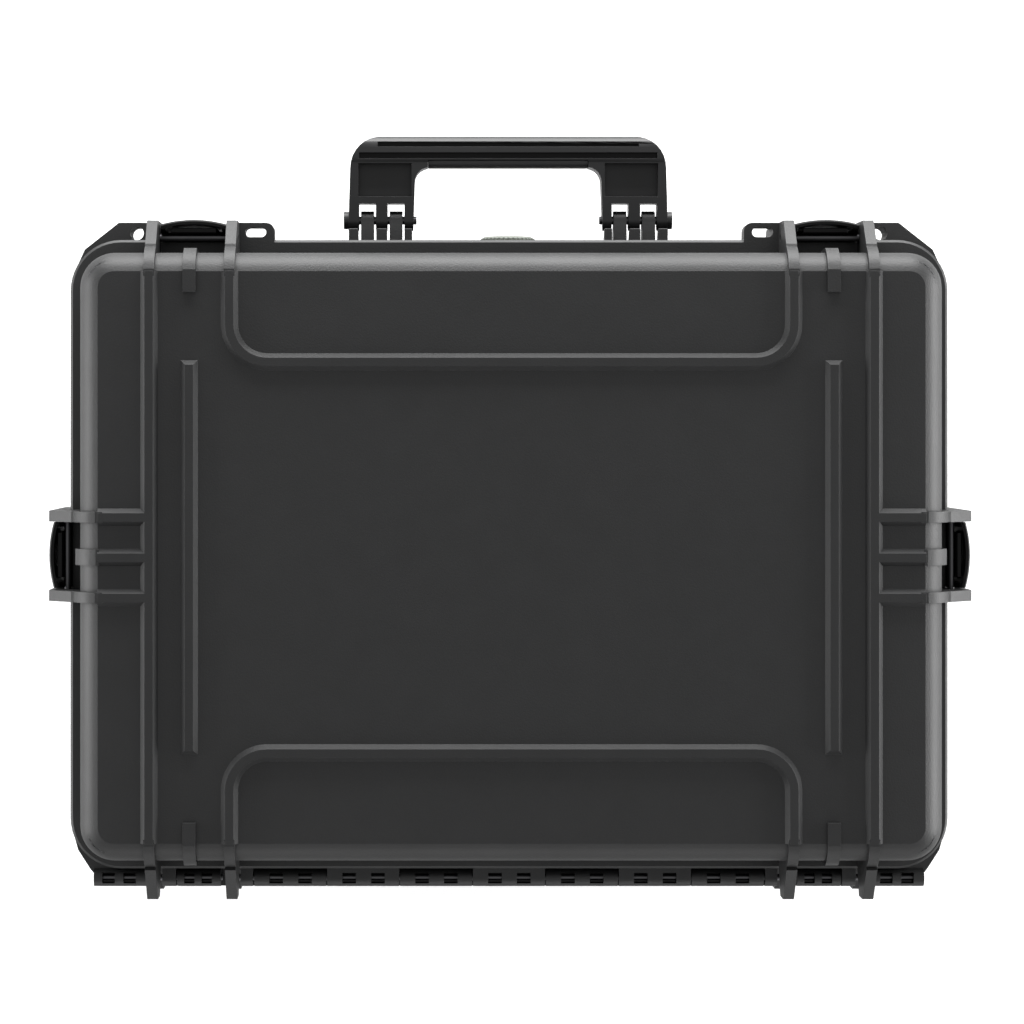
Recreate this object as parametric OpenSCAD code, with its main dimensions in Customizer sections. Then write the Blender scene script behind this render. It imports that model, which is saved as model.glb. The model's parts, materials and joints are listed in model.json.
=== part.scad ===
// Moulded hard case for a laptop, lying flat: base on the floor, lid on top.
// Front (handle, two latches) faces -Y, the hinge is at +Y, a latch sits on each side.

/* [Shells] */
// Width between the outer wall faces at the rim
wall_w = 519; // [470:1:560]
// Depth between the outer wall faces at the rim
wall_d = 367; // [345:1:420]
// Outer corner radius of the walls at the rim
corner_r = 22.5; // [20:0.5:30]
// Height of the base shell, from its flat bottom to the rim
base_h = 144; // [120:1:170]
// Height of the lid shell, from the rim to its flat face
lid_h = 59; // [52:1:75]
// Wall and floor thickness of both shells
wall_t = 4; // [3:0.1:5]
// How far a wall leans in over the height of a shell
draft = 1.5; // [0.5:0.1:3]
// Size of the eased outer edge between wall and face
edge_r = 11.5; // [9:0.5:13]
// Half the angle that the eased edge turns through, 45 for a full quarter round
edge_turn = 26; // [20:1:45]

/* [Rim] */
// How far the rim flange stands out from the wall
flange_out = 8.5; // [7:0.1:8.8]
// Thickness of each rim flange
flange_t = 8; // [7.5:0.1:9]
// Gap between the closed flanges
rim_gap = 0.4; // [0.3:0.05:0.8]
// Width of the seal groove in the lid flange
groove_w = 5; // [4.5:0.1:5.5]
// Depth of the seal groove
groove_deep = 5.6; // [5:0.1:6]
// Thickness of the rubber seal in its groove
seal_t = 3; // [2.5:0.1:3.2]
// Width of the tongue on the base rim that presses on the seal
tongue_w = 2.6; // [2:0.1:3]
// Gap left between tongue and seal in the model
seal_gap = 0.3; // [0.2:0.05:0.5]

/* [Ribs] */
// Height of the ribs on the lid face and the base bottom
rib_h = 4; // [3:0.1:5]
// Width of a rib at its foot
rib_foot_w = 10.3; // [9:0.1:12]
// Width of a rib at its top
rib_top_w = 5; // [4:0.1:6.5]
// Distance from the middle to the outer long ribs
outer_rib_x = 215.9; // [212:0.1:218]
// Distance between the two fins that guard a latch, centre to centre
fin_pitch = 47.9; // [46:0.1:52]
// Distance from the middle to the cross bar of the U ribs
u_bar_y = 116.4; // [100:0.1:130]
// Centre line radius of the U rib corners
u_corner_r = 22.5; // [16:0.5:30]
// Half the length of the short straight ribs between the U ribs
mid_rib_half = 117.4; // [90:0.1:125]
// Width of the small ribs that wrap over the edge
nub_w = 7.7; // [6:0.1:9]
// Distance from the middle to the start of those small ribs
nub_y = 158; // [150:0.5:162]

/* [Fins and feet] */
// Thickness of the fins
fin_t = 6.5; // [5:0.1:7]
// How far the fins stand out from the wall
fin_out = 19; // [18.5:0.1:21]
// How far down the base wall the fins run at full reach
fin_down = 66; // [60:1:80]
// How far up the lid wall the fins run at full reach
fin_up = 33; // [28:1:36]
// How far the standing feet at the hinge side stand out from the wall
foot_out = 24.1; // [22:0.1:26]
// Gap from the rim to the near end of a foot, which lets the lid open
foot_gap = 14; // [13:0.5:16]
// Length of a foot's outer edge
foot_len = 20; // [14:1:22]

/* [Ears] */
// How far a front ear stands out from the wall, front and side
ear_out = 19.5; // [18:0.1:21]
// Thickness of the ears under the rim
ear_t = 26; // [14:1:34]
// Radius of the ear hole
ear_hole_r = 4.2; // [3:0.1:5]
// Ear hole from the middle of the case
ear_hole_x = 228; // [225:0.5:231]
// Ear hole from the front wall face
ear_hole_u = 13; // [11.5:0.1:14]
// Length of the padlock slots beside the inner fins
slot_l = 12.9; // [10:0.1:15]
// Width of the padlock slots
slot_w = 6; // [4.5:0.1:6.5]

/* [Hinge] */
// Hinge axis from the back wall face
hinge_out = 14.7; // [14:0.1:16]
// Outer radius of the knuckles
knuckle_r = 5.5; // [5:0.1:5.9]
// Radius of the steel hinge pins
hinge_pin_r = 2; // [1.5:0.1:2.5]
// Length of one of the seven middle knuckles with its gap
knuckle_pitch = 44.6; // [44:0.1:44.8]
// Side gap between neighbouring knuckles
knuckle_gap = 0.6; // [0.4:0.1:1]

/* [Latches] */
// Width of a latch lever
latch_w = 39.8; // [36:0.1:40]
// How far the lever reaches above the rim
lever_up = 22; // [18:0.5:24]
// Lever pivot below the rim
lever_pivot_down = 44; // [42:0.5:50]
// Lever pivot from the wall face
lever_pivot_out = 11.5; // [11:0.1:12.5]
// Wall thickness of the lever
lever_t = 2.8; // [2.2:0.1:3]
// Rise of the lever's crown over its width
crown = 2.7; // [1.5:0.1:3]
// Hook pin below the rim
hook_pin_down = 12; // [11:0.5:16]
// Hook pin from the wall face
hook_pin_out = 12.4; // [12.3:0.05:12.6]
// Radius of the latch pins
latch_pin_r = 1.6; // [1.2:0.1:1.8]
// Width of the hook
hook_w = 27; // [22:0.5:29]
// Catch bar above the rim
catch_up = 15; // [13.5:0.5:15.5]
// Catch bar from the wall face
catch_out = 9.2; // [8.8:0.1:9.4]
// Radius of the steel catch bar
catch_r = 2.2; // [1.8:0.1:2.4]

/* [Handle] */
// Handle pivot from the front wall face
handle_pivot_out = 22.1; // [21.5:0.1:24]
// Handle pivot below the rim
handle_pivot_down = 21; // [20:0.5:26]
// Handle from its pivot to the far side of the grip
handle_reach = 51.8; // [48:0.1:60]
// Half width of the handle at the grip
handle_half = 97.5; // [96.5:0.1:98.5]
// Half width of the finger opening
grip_half = 57.5; // [56:0.1:58]
// Thickness of the grip bar in the plane of the handle
bar_w = 19.3; // [18:0.1:21]
// Thickness of the handle across its plane
handle_t = 20; // [16:0.5:22]
// Radius of the handle pins
handle_pin_r = 2.5; // [2:0.1:2.8]
// Inner post, centre from the middle of the case
post_in_x = 69.2; // [69:0.1:69.5]
// Outer post, centre from the middle of the case
post_out_x = 86.8; // [86.5:0.1:87]
// Thickness of the handle posts
post_t = 8; // [6.5:0.1:8.4]

/* [Valve] */
// Outer radius of the valve cap
valve_cap_r = 17; // [15:0.5:18]
// Height of the knurled valve cap
valve_cap_h = 8; // [6:0.5:8]
// Radius of the valve stem through the wall
valve_stem_r = 9; // [7:0.1:10]

/* [Foam] */
// Thickness of the lid foam
lid_foam_t = 36; // [30:1:38]
// Thickness of the flat pad under the insert
pad_t = 40; // [30:1:50]
// Width of the laptop pocket
laptop_w = 380; // [340:1:400]
// Depth of the laptop pocket, front to back
laptop_d = 265; // [240:1:280]
// Height of the laptop pocket
laptop_h = 40; // [25:1:60]
// Width of the accessory pocket beside the laptop
side_pocket_w = 50; // [40:1:60]

/* [Hidden] */

$fn = 64;
// A part that is held in its own body lies this far off its seat all round
press_gap = 0.05;
// Parts that only lie beside each other keep this gap
lay_gap = 0.3;
// Extra length of a cutting tool past each face
past = 1;
// How deep a raised form reaches into what it stands on
sink = 1;

// Heights above the floor: the bottom ribs stand on it, the rim is where the shells part
rim_z = rib_h + base_h;

// The eased edge: its arc's radius, and how far its centre lies behind the corner of the flat parts
edge_arc_r = edge_r / (sqrt(2) * sin(edge_turn));
edge_back = edge_r + edge_arc_r * cos(edge_turn) / sqrt(2) - edge_r / 2;

// Middle of the case to the middle of the corner circles
side_x = wall_w / 2 - corner_r;
side_y = wall_d / 2 - corner_r;
inner_fin_x = outer_rib_x - fin_pitch;
latch_x = outer_rib_x - fin_pitch / 2;
hinge_y = wall_d / 2 + hinge_out;
handle_y = -wall_d / 2 - handle_pivot_out;
handle_z = rim_z - handle_pivot_down;
handle_tip_y = handle_y - handle_reach;

// The origin lies under the middle of the whole case, with its handle out and its feet
shift_y = -(handle_tip_y + wall_d / 2 + foot_out) / 2;

// Knuckles: how many in the middle, then the spans of the narrower ones out to the corners
middle_knuckles = 7;
fin_side = fin_t / 2 + knuckle_gap;
side_knuckle = [inner_fin_x + fin_side + 4.5, outer_rib_x - fin_side - 9];
corner_knuckle = [outer_rib_x + fin_side + 2, wall_w / 2 - 5.5];

// Handle: its posts, lugs and the slots that the posts stand in
post_r = handle_pin_r + 3.2;
handle_corner_r = 20;
lug_r = handle_pin_r + 3.9;
slot_deep = 10.2;
grip_pad_t = 4.2;

// Latches: the lever's foot below its pin, the radius of its crown and where the crown stands
lever_foot = 8;
crown_r = (pow(latch_w / 2, 2) + pow(crown, 2)) / (2 * crown);
crown_top = fin_out + 1;

// Pressure valve in the front wall, its axis along -Y
valve_down = flange_t + valve_cap_r + 1;
valve_flange_r = valve_stem_r + 4.5;
boss_out = 2.5;
valve_seal_t = 1.5;
valve_flange_t = 1.5;
cap_back = boss_out + valve_seal_t + press_gap;
stem_out = cap_back + valve_cap_h - 1.8;
nut_t = 4;
nut_in = wall_t + draft + 0.2;

// Foam: gap below the rim, and the pockets from the insert's left side
foam_gap = 6;
pocket_edge = 22;
base_floor = base_h - wall_t - lay_gap;
insert_far = base_floor - pad_t - lay_gap;
pocket_x0 = -wall_w / 2 + wall_t + pocket_edge;
side_pocket_x0 = pocket_x0 + laptop_w + pocket_edge - 6;
side_pocket_h = 60;

// Latches: [name, place of the wall face at the rim, turn that points outwards]
LATCHES = [
    ["front_left", [-latch_x, -wall_d / 2, rim_z], -90],
    ["front_right", [latch_x, -wall_d / 2, rim_z], -90],
    ["side_left", [-wall_w / 2, 0, rim_z], 180],
    ["side_right", [wall_w / 2, 0, rim_z], 0]];

// Points on an arc about a centre, from one angle to another
function arc(centre, r, from, to, steps = 6) =
    [for (i = [0:steps]) let (a = from + (to - from) * i / steps) centre + r * [cos(a), sin(a)]];

// Points along the eased edge of a shell of height h, seen from a wall face at x, grown by a thickness
function edge_points(x, h, grow, down = false, steps = 6) =
    arc([x - draft - edge_back, h - edge_back], edge_arc_r + grow,
        45 + (down ? edge_turn : -edge_turn), 45 + (down ? -edge_turn : edge_turn), steps);

// How far the outer wall face has leaned in at a height from the rim
function lean(z, h) = draft * z / h;

module in_frame() {
    translate([0, shift_y, 0]) children();
}

// The lid is drawn from the rim upwards, the base from the rim downwards
module lid_side() {
    translate([0, 0, rim_z]) children();
}

module base_side() {
    translate([0, 0, rim_z]) mirror([0, 0, 1]) children();
}

// Both ends of something that is the same left and right
module both_sides() {
    children();
    mirror([1, 0, 0]) children();
}

// Carries a section round the case: its x runs outwards from the corner circles' middle
module swept() {
    for (turn = [0:3]) {
        out = turn % 2 == 0 ? side_x : side_y;
        along = turn % 2 == 0 ? side_y : side_x;
        rotate(90 * turn) {
            translate([out, 0, 0]) rotate([90, 0, 0]) linear_extrude(2 * along, center = true) children();
            translate([out, along, 0]) rotate_extrude(angle = 90) children();
        }
    }
}

// Fills the middle of a swept section between two heights
module middle(z0, z1) {
    translate([-side_x, -side_y, z0]) cube([2 * side_x, 2 * side_y, z1 - z0]);
}

// Shell section: flange, drafted wall and rounded edge, with the wall's inner face
module shell_section(h, rim) {
    lip = 1;
    ease = 1.5;
    polygon(concat(
        [[corner_r + flange_out - lip, rim], [corner_r + flange_out, rim + lip],
            [corner_r + flange_out, flange_t - ease], [corner_r + flange_out - ease, flange_t],
            [corner_r - lean(flange_t, h), flange_t]],
        edge_points(corner_r, h, 0),
        [[0, h], [0, h - wall_t]],
        edge_points(corner_r, h, -wall_t, true, 5),
        [[corner_r - wall_t, rim]]));
}

module tray(h, rim) {
    swept() shell_section(h, rim);
    middle(h - wall_t, h);
}

// Ribs
module rib_section() {
    polygon([[-rib_foot_w / 2, -sink], [rib_foot_w / 2, -sink], [rib_foot_w / 2, 0],
        [rib_top_w / 2, rib_h], [-rib_top_w / 2, rib_h], [-rib_foot_w / 2, 0]]);
}

// A straight rib along Y between two places
module rib_y(y0, y1) {
    translate([0, (y0 + y1) / 2, 0]) rotate([90, 0, 0]) linear_extrude(abs(y1 - y0), center = true)
        rib_section();
}

// A straight rib along Y about the middle that slopes down at both ends as it does at its sides
module closed_rib(half) {
    slope = (rib_foot_w - rib_top_w) / 2;
    intersection() {
        rib_y(-half - past, half + past);
        rotate([90, 0, 90]) linear_extrude(2 * rib_foot_w, center = true) polygon([[-half, -sink], [half, -sink],
            [half, 0], [half - slope, rib_h], [slope - half, rib_h], [-half, 0]]);
    }
}

// U shaped rib that opens towards the front
module u_rib() {
    bend_y = u_bar_y + u_corner_r;
    bend_x = inner_fin_x - u_corner_r;
    both_sides() {
        translate([inner_fin_x, 0, 0]) rib_y(-bend_y, -(wall_d / 2 - draft - edge_r));
        translate([bend_x, -bend_y, 0]) rotate_extrude(angle = 90) translate([u_corner_r, 0]) rib_section();
    }
    translate([0, -u_bar_y, 0]) rotate(90) rib_y(-bend_x, bend_x);
}

// All ribs on a shell's flat face, drawn on z = 0
module face_ribs() {
    face_y = wall_d / 2 - draft - edge_r;
    both_sides() {
        translate([outer_rib_x, 0, 0]) rib_y(-face_y, face_y);
        translate([latch_x, 0, 0]) closed_rib(mid_rib_half);
        for (y = [-fin_pitch / 2, 0, fin_pitch / 2]) translate([0, y, 0])
            rotate(-90) rib_y(outer_rib_x, wall_w / 2 - draft - edge_r);
    }
    u_rib();
    mirror([0, 1, 0]) u_rib();
}

// Outline of a fin that wraps over the shell's edge, with its tip's points, x outwards
function fin_outline(h, proud, tip, start) = concat(
    [[-draft - edge_r - start, h - wall_t / 2]],
    edge_points(0, h, -wall_t / 2, true),
    [[-wall_t / 2 - draft, 2]],
    tip,
    edge_points(0, h, proud),
    [[-draft - edge_r - start, h + proud]]);

// Tip of a latch fin: straight down from the rim, then back to the wall at 45 degrees
function latch_tip(far) = concat(
    [[fin_out, rim_gap]],
    arc([fin_out - 5, far - 2], 5, 0, 45, 3),
    [[rib_h, far + fin_out - rib_h]]);

// Tip of a standing foot at the hinge side
foot_near_r = 2;
foot_far_r = 4;
foot_far = foot_gap + foot_len - foot_far_r;
foot_tip = concat(
    [[flange_out - 2, 2], [flange_out - 1, flange_t]],
    arc([foot_out - foot_near_r, foot_gap + foot_near_r], foot_near_r, -60, 0, 2),
    arc([foot_out - foot_far_r, foot_far], foot_far_r, 0, 45, 2),
    [[rib_h, foot_far + foot_out - rib_h]]);

module fin(h, tip, thick = fin_t, proud = rib_h, start = 3) {
    rotate([90, 0, 0]) linear_extrude(thick, center = true) polygon(fin_outline(h, proud, tip, start));
}

// Fins, feet and the small wrapped ribs of one shell
module fins(h, far) {
    nub_start = wall_d / 2 - draft - edge_r - nub_y;
    nub_tip = [[rib_h - 1 - draft, h - edge_r - 8]];
    both_sides() {
        for (x = [inner_fin_x, outer_rib_x]) {
            translate([x, -wall_d / 2, 0]) rotate(-90) fin(h, latch_tip(far));
            translate([x, wall_d / 2, 0]) rotate(90) fin(h, foot_tip);
        }
        for (y = [-1, 1]) {
            translate([wall_w / 2, y * fin_pitch / 2, 0]) fin(h, latch_tip(far));
            translate([latch_x, y * wall_d / 2, 0]) rotate(y * 90)
                fin(h, nub_tip, nub_w, rib_h - 1, nub_start);
        }
        translate([wall_w / 2, 0, 0]) fin(h, nub_tip, nub_w + 2, rib_h - 1, 1);
    }
}

// Plate with a padlock slot, beside each inner fin, between two heights from the rim
module eyelets(z0, z1) {
    slot_x = inner_fin_x - fin_t / 2 - 3.5 - slot_l / 2;
    tip_x = slot_x - slot_l / 2 - 5;
    slot_y = -wall_d / 2 - fin_out + 2.8 + slot_w / 2;
    both_sides() difference() {
        translate([0, 0, z0]) linear_extrude(z1 - z0) polygon(concat(
            [[inner_fin_x, -wall_d / 2 - 3], [inner_fin_x, -wall_d / 2 - fin_out]],
            arc([tip_x + 5, -wall_d / 2 - fin_out + 5], 5, -90, -180, 4),
            [[tip_x, -wall_d / 2 - 3]]));
        for (x = [-1, 1]) translate([slot_x + x * (slot_l - slot_w) / 2, slot_y, z0 - past])
            cylinder(r = slot_w / 2, h = z1 - z0 + 2 * past);
        translate([slot_x - (slot_l - slot_w) / 2, slot_y - slot_w / 2, z0 - past])
            cube([slot_l - slot_w, slot_w, z1 - z0 + 2 * past]);
    }
}

// Front corner ears, below the rim: flat in front of the hole, then in steps round the corner
module ears() {
    front = -wall_d / 2 - ear_out;
    flat_end = ear_hole_x + 11;
    shoulder = [wall_w / 2 + 0.5, -wall_d / 2 - 3];
    cheek = [wall_w / 2 + flange_out - 1.5, -side_y - 11];
    both_sides() difference() {
        linear_extrude(ear_t) polygon(concat(
            [[outer_rib_x, -wall_d / 2 - sink], [outer_rib_x, front], [flat_end, front], shoulder, cheek,
                [wall_w / 2 + flange_out, -side_y]],
            arc([side_x, -side_y], corner_r - wall_t / 2, 0, -90, 3)));
        translate([ear_hole_x, -wall_d / 2 - ear_hole_u, -past]) cylinder(r = ear_hole_r, h = ear_t + 2 * past);
    }
}

// Plates at the back corners that carry the end knuckles
module back_corners() {
    back = hinge_y - 2;
    shoulder = [wall_w / 2 - 3, hinge_y - 5];
    cheek = [wall_w / 2 + 4.5, wall_d / 2 - 2];
    both_sides() linear_extrude(flange_t) polygon(concat(
        [[corner_knuckle[0], wall_d / 2 - sink], [corner_knuckle[0], back], [corner_knuckle[1], back],
            shoulder, cheek, [wall_w / 2 + flange_out, side_y + 6]],
        arc([side_x, side_y], corner_r - wall_t / 2, 0, 90, 3)));
}

// Hinge: seven middle knuckles by turns on base and lid, then narrower ones out to the corners
function middle_knuckle(i) = [(i - middle_knuckles / 2) * knuckle_pitch + knuckle_gap / 2,
    (i + 1 - middle_knuckles / 2) * knuckle_pitch - knuckle_gap / 2];

base_knuckles = concat([for (i = [0:2:middle_knuckles - 1]) middle_knuckle(i)],
    [for (k = [side_knuckle, corner_knuckle]) each [k, [-k[1], -k[0]]]]);
lid_end_knuckle = [middle_knuckles / 2 * knuckle_pitch + knuckle_gap, inner_fin_x - fin_side];
lid_side_knuckle = [side_knuckle[1] + knuckle_gap, outer_rib_x - fin_side];
lid_knuckles = concat([for (i = [1:2:middle_knuckles - 1]) middle_knuckle(i)],
    [for (k = [lid_end_knuckle, lid_side_knuckle]) each [k, [-k[1], -k[0]]]]);

// One knuckle: a barrel with its web to the flange, and windows that show the pin where it is long enough
module knuckle(span, floor) {
    length = span[1] - span[0];
    translate([span[0], hinge_y, 0]) {
        rotate([0, 90, 0]) cylinder(r = knuckle_r, h = length);
        translate([0, -hinge_out + flange_out - 2, floor])
            cube([length, hinge_out - flange_out + 2, knuckle_r - floor]);
    }
}

module knuckle_windows(span) {
    length = span[1] - span[0];
    long = length > 40;
    lug = length / (long ? 5 : 4);
    window_w = 0.95 * lug;
    window_d = 2 * knuckle_r - 4.4;
    if (length > 20)
        for (start = long ? [lug, 3 * lug] : [0.8 * lug, 2.4 * lug])
            translate([span[0] + start, hinge_y - window_d / 2, -knuckle_r - past])
                cube([window_w, window_d, 2 * (knuckle_r + past)]);
}

module hinge_bore() {
    translate([-wall_w / 2, hinge_y, 0]) rotate([0, 90, 0])
        cylinder(r = hinge_pin_r + press_gap, h = wall_w);
}

module hinge_pin(x0, x1) {
    color([0.62, 0.63, 0.64]) in_frame() translate([x0, hinge_y, rim_z]) rotate([0, 90, 0])
        cylinder(r = hinge_pin_r, h = x1 - x0);
}

// A bore through both fins of every latch, at a height from the rim and a distance from the wall
module fin_bores(out, z, r) {
    for (latch = LATCHES) translate([latch[1][0], latch[1][1], z]) rotate(latch[2])
        translate([out, 0, 0]) rotate([90, 0, 0]) cylinder(r = r, h = fin_pitch + fin_t + 2, center = true);
}

// Rods that lie in those bores
module fin_rods(out, z, r) {
    for (latch = LATCHES) translate([latch[1][0], latch[1][1], z]) rotate(latch[2])
        translate([out, 0, 0]) rotate([90, 0, 0]) cylinder(r = r, h = fin_pitch + fin_t - 1, center = true);
}

module catch_bars() {
    color([0.6, 0.61, 0.62]) in_frame() lid_side() fin_rods(catch_out, catch_up, catch_r);
}

module lever_pins() {
    color([0.6, 0.61, 0.62]) in_frame() base_side() fin_rods(lever_pivot_out, lever_pivot_down, latch_pin_r);
}

// Handle posts on the base front wall, drawn downwards from the rim
module handle_posts() {
    root = 9;
    back = 2;
    both_sides() for (x = [post_in_x, post_out_x]) translate([x, -wall_d / 2, handle_pivot_down])
        rotate([0, 0, -90]) difference() {
            rotate([90, 0, 0]) union() {
                linear_extrude(post_t, center = true) polygon([[-back, -root], [back, -root],
                    [handle_pivot_out, -post_r], [handle_pivot_out, post_r], [back, root], [-back, root]]);
                translate([handle_pivot_out, 0, 0]) cylinder(r = post_r, h = post_t, center = true);
            }
            translate([handle_pivot_out, 0, 0]) rotate([90, 0, 0])
                cylinder(r = handle_pin_r + press_gap, h = post_t + 2 * past, center = true);
        }
}

// Base shell
module base_shell() {
    h = base_h;
    tongue_h = groove_deep - seal_t - seal_gap;
    color([0.17, 0.17, 0.18]) in_frame() base_side() difference() {
        union() {
            tray(h, 0);
            swept() translate([corner_r + groove_w / 2 - tongue_w / 2, -tongue_h]) square([tongue_w, tongue_h + 1]);
            translate([0, 0, h]) face_ribs();
            fins(h, fin_down);
            eyelets(0, flange_t);
            ears();
            back_corners();
            for (k = base_knuckles) knuckle(k, rim_gap);
            handle_posts();
            valve_boss();
        }
        for (k = base_knuckles) knuckle_windows(k);
        hinge_bore();
        fin_bores(lever_pivot_out, lever_pivot_down, latch_pin_r + press_gap);
        valve_hole();
    }
}

// Lid shell
module lid_shell() {
    h = lid_h;
    color([0.17, 0.17, 0.18]) in_frame() lid_side() difference() {
        union() {
            tray(h, rim_gap);
            translate([0, 0, h]) face_ribs();
            fins(h, fin_up);
            eyelets(rim_gap, flange_t);
            for (k = lid_knuckles) knuckle(k, rim_gap);
        }
        swept() translate([corner_r, -past]) square([groove_w, groove_deep + past]);
        for (k = lid_knuckles) knuckle_windows(k);
        hinge_bore();
        fin_bores(catch_out, catch_up, catch_r + press_gap);
    }
}

module rim_seal() {
    side = groove_w / 2 - press_gap;
    color([0.08, 0.08, 0.08]) in_frame() lid_side() swept() translate([corner_r + groove_w / 2, 0])
        polygon([[-side, groove_deep], [-side, groove_deep - seal_t + 1], [-side + 1, groove_deep - seal_t],
            [side - 1, groove_deep - seal_t], [side, groove_deep - seal_t + 1], [side, groove_deep]]);
}

// Latches
module at_latch(i) {
    in_frame() translate(LATCHES[i][1]) rotate(LATCHES[i][2]) children();
}

// A rod or bore across a latch, at a distance from the wall and a height from the rim
module across(out, z, r, length) {
    translate([out, 0, z]) rotate([90, 0, 0]) cylinder(r = r, h = length, center = true);
}

// Lever: a crowned cover with two cheeks, pivoted at its lower end
module latch_lever(i) {
    z0 = -lever_pivot_down - lever_foot;
    half_angle = asin(latch_w / 2 / crown_r);
    edge_in = crown_top - crown - lever_t;
    cheek_in = flange_out + 0.8;
    cheek_top = lever_up - 3;
    toe = 3;
    pivot_in = lever_pivot_out - 5;
    pivot_half = 4;
    color([0.05, 0.05, 0.05]) at_latch(i) difference() {
        union() {
            intersection() {
                translate([crown_top - crown_r, 0, 0]) rotate(-half_angle - 1)
                    rotate_extrude(angle = 2 * half_angle + 2, $fn = 256)
                        polygon([[crown_r - lever_t, z0 + 1], [crown_r - 1, z0], [crown_r, z0 + toe],
                            [crown_r, lever_up - 2], [crown_r - 1, lever_up], [crown_r - lever_t, lever_up]]);
                translate([0, -latch_w / 2, z0]) cube([crown_top + 1, latch_w, lever_up - z0]);
            }
            for (y = [-1, 1]) translate([0, y * (latch_w - lever_t) / 2, 0]) {
                rotate([90, 0, 0]) linear_extrude(lever_t, center = true) polygon([
                    [edge_in + 1, z0 + 1], [edge_in + 1, cheek_top], [edge_in - 0.5, cheek_top],
                    [cheek_in, cheek_top / 3], [cheek_in, 3 * pivot_half - lever_pivot_down],
                    [pivot_in, pivot_half - lever_pivot_down], [pivot_in, -pivot_half - lever_pivot_down],
                    [lever_pivot_out, z0 + 1]]);
            }
            translate([edge_in - 0.2, -latch_w / 2 + 1, -lever_pivot_down - 2])
                cube([lever_t, latch_w - 2, lever_t]);
            translate([edge_in, -latch_w / 2 + 1, z0 + 1]) cube([lever_t, latch_w - 2, lever_t]);
        }
        across(lever_pivot_out, -lever_pivot_down, latch_pin_r + press_gap, latch_w + 2);
        across(hook_pin_out, -hook_pin_down, latch_pin_r + press_gap, latch_w + 2);
    }
}

// Hook: a clawed link pinned inside the lever, its nose in front of the catch bar
module latch_hook(i) {
    boss_r = latch_pin_r + 1.6;
    back = flange_out + 0.7;
    front = hook_pin_out + boss_r - 0.2;
    nose = catch_out + catch_r + lay_gap;
    under_bar = catch_up - catch_r;
    claw = catch_up + 4;
    slit_w = hook_w / 4;
    slit_z = boss_r + 1.5 - hook_pin_down;
    color([0.1, 0.1, 0.1]) at_latch(i) difference() {
        union() {
            rotate([90, 0, 0]) linear_extrude(hook_w, center = true) polygon([
                [back, -hook_pin_down], [back, under_bar - 2.6], [nose, under_bar - 0.2],
                [nose, claw - 1], [nose + 0.8, claw], [front - 0.6, claw], [front, claw - 2],
                [front, -hook_pin_down]]);
            across(hook_pin_out, -hook_pin_down, boss_r, hook_w);
        }
        across(hook_pin_out, -hook_pin_down, latch_pin_r + press_gap, hook_w + 2);
        for (y = [-1, 1]) translate([back - past, y * slit_w - slit_w / 2, slit_z])
            cube([front - back + 2 * past, slit_w, under_bar - 3.5 - slit_z]);
    }
}

module hook_pin(i) {
    color([0.6, 0.61, 0.62]) at_latch(i) across(hook_pin_out, -hook_pin_down, latch_pin_r, latch_w - 1);
}

// Handle, drawn flat about its pivot line, its grip towards -Y
module at_handle() {
    in_frame() translate([0, handle_y, handle_z]) children();
}

// Half of the handle's outline, from its lugs round the outer corner to the middle
module handle_outline() {
    tip = handle_reach;
    grip_inner = tip - bar_w;
    polygon(concat(
        [[0, -grip_inner], [grip_half - 9, -grip_inner]],
        arc([grip_half - 9, -grip_inner + 9], 9, -90, 0, 5),
        [[grip_half + 1, lug_r], [handle_half + 1.2, lug_r]],
        arc([handle_half - handle_corner_r, -tip + handle_corner_r], handle_corner_r, 0, -90, 8),
        [[0, -tip]]));
}

// Section across the handle: round lugs, slimmer legs and a full grip
module handle_side_section() {
    half = handle_t / 2;
    neck = [-14, half - 2.2];
    tip_r = 7;
    heel_r = 6;
    tip_x = tip_r - handle_reach;
    heel_x = bar_w - heel_r - handle_reach;
    circle(r = lug_r);
    polygon(concat([[0, lug_r], neck],
        arc([heel_x, half - heel_r], heel_r, 60, 90, 2),
        arc([tip_x, half - tip_r], tip_r, 90, 180),
        arc([tip_x, tip_r - half], tip_r, 180, 270),
        arc([heel_x, heel_r - half], heel_r, 270, 300, 2),
        [[neck[0], -neck[1]], [0, -lug_r]]));
}

// A shallow cut in both broad faces of the handle
module face_cut(x0, x1, y0, y1, web) {
    for (z = [web / 2, -web / 2 - handle_t]) translate([x0, y0, z]) cube([x1 - x0, y1 - y0, handle_t]);
}

module handle_frame() {
    tip = handle_reach;
    slot_wide = post_t + 2.4;
    crossbar = -4.2;
    panel_web = 4;
    color([0.15, 0.15, 0.16]) at_handle() both_sides() difference() {
        union() {
            intersection() {
                translate([0, 0, -handle_t]) linear_extrude(2 * handle_t) handle_outline();
                rotate([0, 90, 0]) linear_extrude(handle_half + 5) rotate(90) handle_side_section();
            }
            translate([handle_half - 2, 0, 0]) rotate([0, 90, 0]) cylinder(r = lug_r - 1, h = 6);
        }
        for (x = [post_in_x, post_out_x]) translate([x - slot_wide / 2, -slot_deep, -handle_t])
            cube([slot_wide, slot_deep + lug_r + past, 2 * handle_t]);
        translate([grip_half - 5, 0, 0]) rotate([0, 90, 0])
            cylinder(r = handle_pin_r + press_gap, h = handle_half - grip_half + 7.5);
        face_cut(-past, handle_half - 17, -tip + 3.6, -tip + 6.8, handle_t - 6);
        face_cut(-past, handle_half - 5.5, -tip + 10.4, -tip + 14, handle_t - 6);
        face_cut(grip_half + 2, handle_half - 5, -tip + 17, crossbar - slot_deep, panel_web);
        translate([-past, -tip + bar_w - grip_pad_t, -handle_t])
            cube([grip_half - 8 + past, grip_pad_t + past, 2 * handle_t]);
    }
}

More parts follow.
